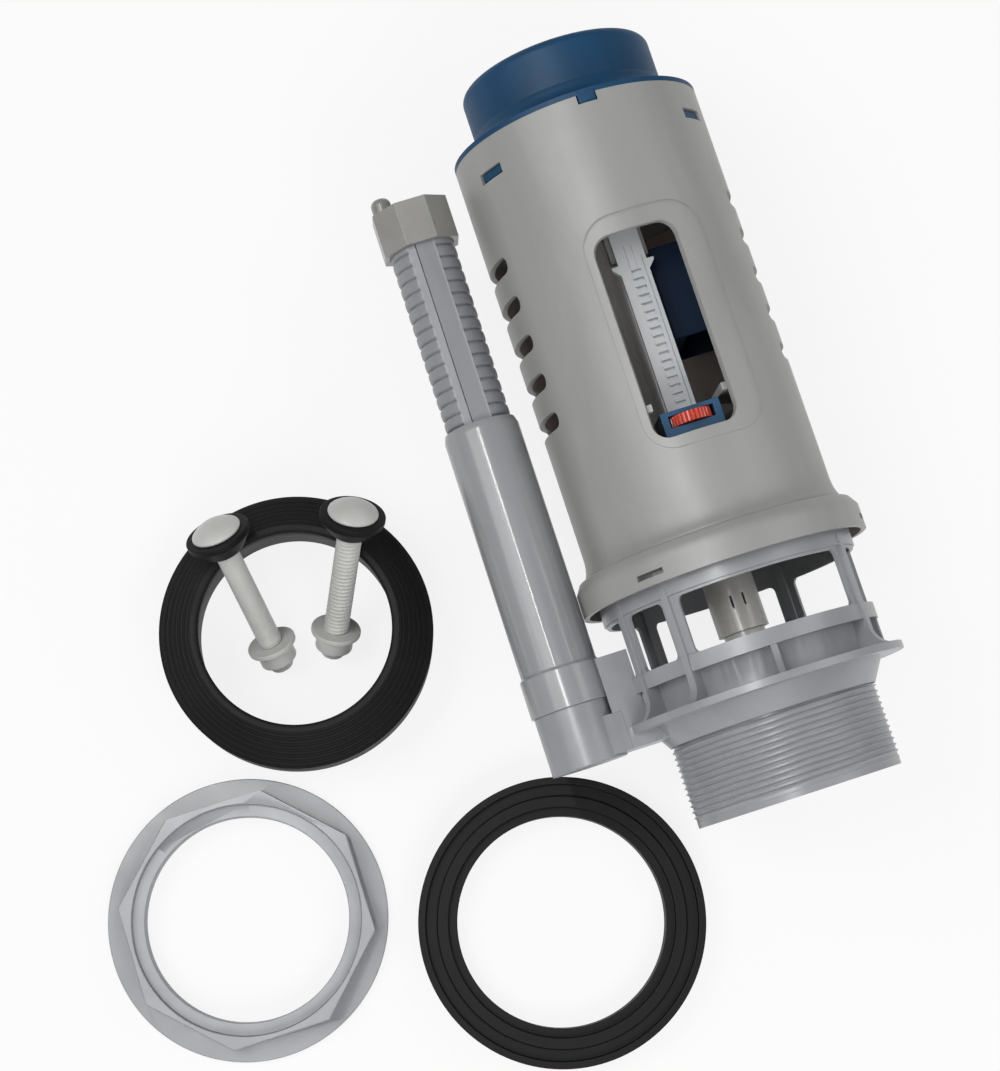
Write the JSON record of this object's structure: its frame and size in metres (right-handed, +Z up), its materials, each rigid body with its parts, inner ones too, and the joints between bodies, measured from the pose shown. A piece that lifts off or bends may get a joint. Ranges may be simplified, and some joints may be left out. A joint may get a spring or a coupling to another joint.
{
  "type": "toilet flush valve",
  "caption": "Canister flush valve for a cistern, with a threaded shank, windowed tube, push buttons and overflow pipe, laid out beside its loose fixing kit.",
  "frame": {"origin": "on the valve's axis where the thread of the shank begins, 2 mm inside its open end", "axes": "+Y runs along the valve from the shank to the buttons, +Z is up from the bench and out of the casing's window, +X is to the right seen through the window with the shank towards the viewer"},
  "size_m": [0.3285, 0.378, 0.114],
  "materials": {
    "grey_base": "light grey moulded plastic, slightly bluish, satin",
    "grey_tube": "light grey moulded plastic, satin",
    "grey_casing": "warm light grey moulded plastic, satin",
    "white_plastic": "off-white moulded plastic, satin",
    "blue_plastic": "steel-blue moulded plastic, soft gloss",
    "dark_blue_plastic": "dark blue moulded plastic",
    "red_plastic": "orange-red moulded plastic",
    "black_rubber": "black rubber, matt",
    "steel": "bright stainless steel"
  },
  "bodies": {
    "base": {"base_shank": "grey_base", "inlet_band": "grey_base", "inlet_cage": "grey_base", "overflow_elbow": "grey_base", "overflow_pipe": "grey_tube", "overflow_oring": "black_rubber", "seal_ring": "black_rubber", "lock_nut": "grey_base", "bowl_gasket": "black_rubber", "tank_bolt_left": "white_plastic", "tank_bolt_right": "white_plastic", "bolt_washer_left": "black_rubber", "bolt_washer_right": "black_rubber", "bolt_nut_left": "white_plastic", "bolt_nut_right": "white_plastic"},
    "riser": {"overflow_riser": "grey_tube", "overflow_cap": "grey_tube"},
    "casing": {"casing": "grey_casing", "top_cup": "blue_plastic", "inner_frame": "grey_casing", "ledge_plate": "grey_casing", "stem_guide": "grey_casing", "lever_pin": "steel"},
    "stem": {"stem_tube": "grey_tube", "stem_head": "white_plastic", "seal_plate": "grey_tube", "flush_seal": "black_rubber", "seal_keeper": "grey_tube", "float_block": "dark_blue_plastic"},
    "full_button": {"full_button": "blue_plastic", "full_spring": "steel"},
    "full_lever": {"full_lever": "white_plastic"},
    "level_rod": {"level_rod": "white_plastic", "rod_carrier": "grey_casing"},
    "half_button": {"half_button": "blue_plastic", "half_spring": "steel"},
    "carriage": {"adjuster_frame": "dark_blue_plastic", "wheel_axle": "steel"},
    "wheel": {"adjuster_wheel": "red_plastic"}
  },
  "joints": [
    {"name": "riser_slide", "type": "slide", "parent": "base", "child": "riser", "axis": [0, 1, 0], "range_m": [-0.07, 0.01]},
    {"name": "casing_twist", "type": "hinge", "parent": "base", "child": "casing", "pos_m": [0, 0, 0], "axis": [0, 1, 0], "range_deg": [0, 20]},
    {"name": "stem_lift", "type": "slide", "parent": "casing", "child": "stem", "axis": [0, 1, 0], "range_m": [0, 0.01]},
    {"name": "full_button_press", "type": "slide", "parent": "casing", "child": "full_button", "axis": [0, -1, 0], "range_m": [0, 0.0056], "stiffness_N_per_m": 300, "deforming": ["full_spring"]},
    {"name": "full_lever_turn", "type": "hinge", "parent": "casing", "child": "full_lever", "pos_m": [0, 0.257, -0.014], "axis": [-1, 0, 0], "range_deg": [0, 30]},
    {"name": "level_rod_slide", "type": "slide", "parent": "casing", "child": "level_rod", "axis": [0, -1, 0], "range_m": [0, 0.006]},
    {"name": "half_button_press", "type": "slide", "parent": "casing", "child": "half_button", "axis": [0, -1, 0], "range_m": [0, 0.006], "stiffness_N_per_m": 300, "deforming": ["half_spring"]},
    {"name": "carriage_slide", "type": "slide", "parent": "level_rod", "child": "carriage", "axis": [0, 1, 0], "range_m": [0, 0.05]},
    {"name": "wheel_turn", "type": "hinge", "parent": "carriage", "child": "wheel", "pos_m": [0, 0.143, 0.0378], "axis": [0, 1, 0], "range_deg": [0, 5400]}
  ],
  "couplings": [
    {"joint": "full_button_press", "follows": "stem_lift", "ratio": 0.56},
    {"joint": "full_lever_turn", "follows": "stem_lift", "rad_per_m": 52.35},
    {"joint": "half_button_press", "follows": "level_rod_slide", "ratio": 1},
    {"joint": "wheel_turn", "follows": "carriage_slide", "rad_per_m": 1870}
  ]
}
